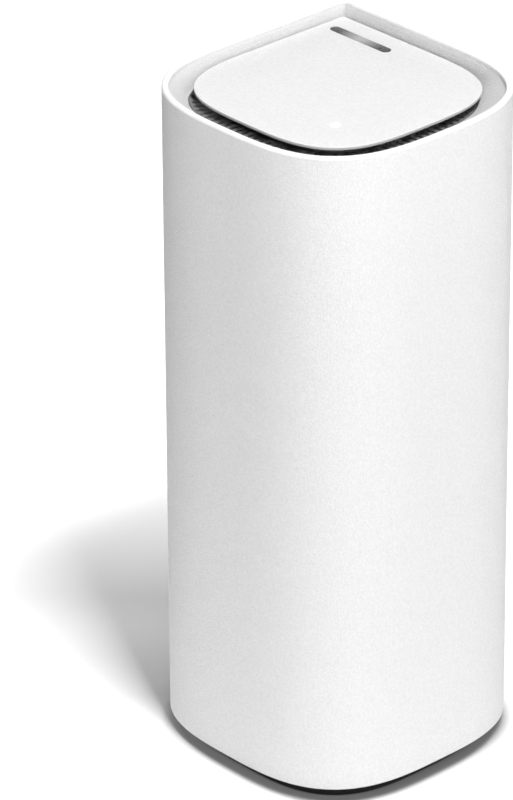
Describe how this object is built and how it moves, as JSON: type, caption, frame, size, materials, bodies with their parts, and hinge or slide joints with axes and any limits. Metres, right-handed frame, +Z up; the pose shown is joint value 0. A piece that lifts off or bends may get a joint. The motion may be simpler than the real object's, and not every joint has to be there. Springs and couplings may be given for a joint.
{
  "type": "mesh wifi tower",
  "caption": "Tall white squircle-plan wireless router tower with a recessed lid, hidden vent ring, rear socket recess, finned heat sinks and fan inside.",
  "frame": {"origin": "on the floor, under the centre of the body's square (where the square's diagonals cross), between the feet", "axes": "+Z up; -Y towards the rounded front corner with the status window; +Y towards the sharp rear corner with the sockets; +X to the right seen from the front"},
  "size_m": [0.1066, 0.118, 0.221],
  "materials": {
    "white_plastic": "fine moulded grain",
    "lid_plastic": "satin",
    "polished_metal": "polished",
    "window_plastic": "frosted",
    "grille_plastic": "satin",
    "black_plastic": "satin",
    "dark_plastic": "moulded",
    "rubber": "matte",
    "board": "solder mask",
    "chip": "moulded",
    "led": "clear",
    "light_pipe": "clear",
    "steel": "plated",
    "aluminium": "extruded",
    "tinned": "tinned",
    "brass": "gold plated",
    "antenna_board": "laminate",
    "cable": "jacket",
    "ferrite": "sintered",
    "pad": "soft",
    "blue_plastic": "moulded",
    "jack_light": "clear",
    "button": "satin",
    "red_plastic": "moulded",
    "socket_plastic": "moulded"
  },
  "bodies": {
    "tower": {"outer_shell": "white_plastic", "top_lid": "lid_plastic", "lid_badge": "polished_metal", "status_window": "window_plastic", "vent_grille": "grille_plastic", "light_board": "board", "status_led": "led", "light_pipe": "light_pipe", "light_cable": "cable", "base_tray": "black_plastic", "rubber_feet": "rubber", "base_screws": "steel", "inner_frame": "dark_plastic", "antennas": "antenna_board", "antenna_cables": "cable", "cable_plugs": "brass", "board_plugs": "socket_plastic", "main_board": "board", "processor_chip": "chip", "memory_chips": "chip", "network_transformers": "chip", "power_inductors": "ferrite", "capacitors": "aluminium", "shield_cans": "tinned", "thermal_pads": "pad", "right_heat_sink": "aluminium", "left_heat_sink": "aluminium", "heat_sink_screws": "steel", "port_panel": "black_plastic", "jack_shells": "tinned", "lan_liners": "dark_plastic", "internet_liner": "blue_plastic", "jack_contacts": "brass", "jack_lights": "jack_light", "usb_shell": "tinned", "usb_insert": "blue_plastic", "usb_riser": "dark_plastic", "power_jack": "dark_plastic", "power_pin": "brass", "rocker_housing": "dark_plastic", "rocker_terminals": "brass", "pair_switch": "dark_plastic", "reset_switch": "dark_plastic", "fan_frame": "black_plastic", "fan_lead": "cable", "fan_screws": "steel"},
    "pair_button": {"pair_button": "button"},
    "reset_button": {"reset_button": "red_plastic"},
    "power_rocker": {"power_rocker": "black_plastic"},
    "fan_rotor": {"fan_rotor": "dark_plastic"}
  },
  "joints": [
    {"name": "pair_press", "type": "slide", "parent": "tower", "child": "pair_button", "axis": [0, -1, 0], "range_m": [0, 0.001]},
    {"name": "reset_press", "type": "slide", "parent": "tower", "child": "reset_button", "axis": [0, 0, 1], "range_m": [0, 0.0008]},
    {"name": "power_rock", "type": "hinge", "parent": "tower", "child": "power_rocker", "pos_m": [0, 0.0436, 0.026], "axis": [1, 0, 0], "range_deg": [-22, 0]},
    {"name": "fan_spin", "type": "hinge", "parent": "tower", "child": "fan_rotor", "pos_m": [0, 0, 0.19], "axis": [0, 0, 1], "continuous": true}
  ]
}
